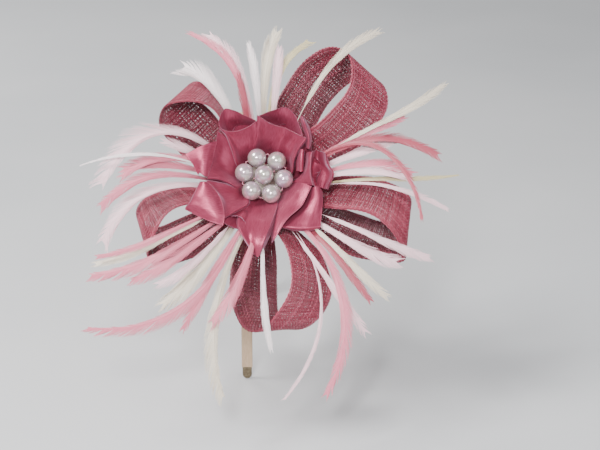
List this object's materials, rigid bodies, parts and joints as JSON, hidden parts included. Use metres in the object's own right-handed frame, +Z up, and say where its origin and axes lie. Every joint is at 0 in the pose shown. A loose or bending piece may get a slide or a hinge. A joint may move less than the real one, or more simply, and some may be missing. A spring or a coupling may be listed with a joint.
{
  "type": "fascinator headpiece",
  "caption": "Sprung satin-covered headband with a ribbon rose and faux pearls on open straw loops and a spray of narrow feathers, worn on one side of the head.",
  "frame": {"origin": "centre of the band's inner crown arc, in the middle of the band's width", "axes": "+Y along the axis of the crown arc towards the back of the head, +Z up through the top of the head, +X to the wearer's left where the trim sits; the wearer faces -Y"},
  "size_m": [0.2218, 0.198, 0.1998],
  "materials": {
    "spring_steel": "satin",
    "band_satin": "satin weave ribbon",
    "rubber": "dull",
    "felt": "felt",
    "glue": "set hot glue",
    "straw": "open straw weave",
    "feather_ivory": "feather vane",
    "feather_pale": "feather vane",
    "feather_pink": "feather vane",
    "feather_dusky": "feather vane",
    "net": "stiff net",
    "satin_rose": "satin ribbon",
    "pearl": "pearl lacquer",
    "thread": "sewing thread"
  },
  "bodies": {
    "crown": {"spring_crown": "spring_steel", "cover_crown": "band_satin", "felt_pad": "felt", "glue_fillets": "glue", "base_disc": "straw", "loop_tails": "straw", "loop_top_front": "straw", "loop_top_back": "straw", "loop_back": "straw", "loop_bottom": "straw", "loop_front": "straw", "feathers_top": "feather_pink", "feathers_top_front": "feather_pink", "feathers_top_back": "feather_ivory", "feathers_back_upper": "feather_pink", "feathers_back": "feather_pale", "feathers_low_back": "feather_pale", "feathers_bottom_back": "feather_dusky", "feathers_bottom": "feather_pale", "feathers_bottom_front": "feather_ivory", "feathers_low_front": "feather_pale", "feathers_front_low": "feather_pink", "feathers_front_lower": "feather_pale", "feathers_front": "feather_pale", "feathers_front_upper": "feather_ivory", "rose_backing": "net", "rose_core": "satin_rose", "petal_top": "satin_rose", "petal_top_front": "satin_rose", "petal_front": "satin_rose", "petal_low_front": "satin_rose", "petal_bottom": "satin_rose", "petal_low_back": "satin_rose", "petal_back": "satin_rose", "petal_top_back": "satin_rose", "pearl_centre": "pearl", "pearl_1": "pearl", "pearl_2": "pearl", "pearl_3": "pearl", "pearl_4": "pearl", "pearl_5": "pearl", "pearl_6": "pearl", "pearl_thread": "thread"},
    "left_arm": {"spring_left": "spring_steel", "cover_left": "band_satin", "tip_cap_left": "rubber"},
    "right_arm": {"spring_right": "spring_steel", "cover_right": "band_satin", "tip_cap_right": "rubber"}
  },
  "joints": [
    {"name": "left_arm_flex", "type": "hinge", "parent": "crown", "child": "left_arm", "pos_m": [0.06391, 0, 0.01127], "axis": [0, -1, 0], "range_deg": [-3, 14], "stiffness_Nm_per_rad": 0.35},
    {"name": "right_arm_flex", "type": "hinge", "parent": "crown", "child": "right_arm", "pos_m": [-0.06391, 0, 0.01127], "axis": [0, 1, 0], "range_deg": [-3, 14], "stiffness_Nm_per_rad": 0.35}
  ]
}
